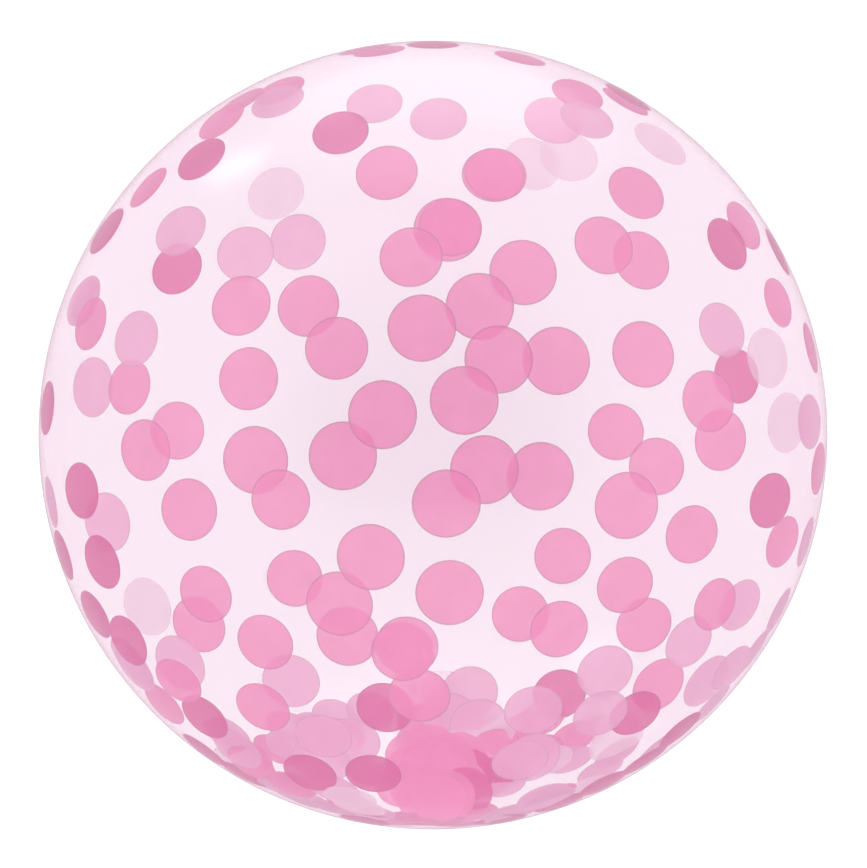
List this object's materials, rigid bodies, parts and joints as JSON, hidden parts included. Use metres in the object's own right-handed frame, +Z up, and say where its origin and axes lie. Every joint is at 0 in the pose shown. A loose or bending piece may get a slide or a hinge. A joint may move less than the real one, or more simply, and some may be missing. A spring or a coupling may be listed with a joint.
{
  "type": "confetti bubble balloon",
  "caption": "Clear round bubble balloon with pink round confetti clinging to the inside and heaped at the bottom, lying on a small flat spot, with a flat inflation tail at the back.",
  "frame": {"origin": "middle of the flat spot that the balloon lies on", "axes": "+Z up, -Y to the front, +Y to the back where the inflation tail lies, +X to the right seen from the front"},
  "size_m": [0.45, 0.45, 0.4477],
  "materials": {
    "clear_film": "thin glossy clear stretch film with a faint pinkish haze",
    "tail_film": "two plies of the same clear film, welded flat along both edges",
    "confetti_pink": "thin translucent tissue, mid pink",
    "confetti_rose": "thin translucent tissue, deep rose pink",
    "confetti_blush": "thin translucent tissue, blush pink",
    "confetti_pale": "thin translucent tissue, pale pink"
  },
  "bodies": {
    "root": {"bubble_skin": "clear_film", "inflation_tail": "tail_film"}
  },
  "joints": []
}
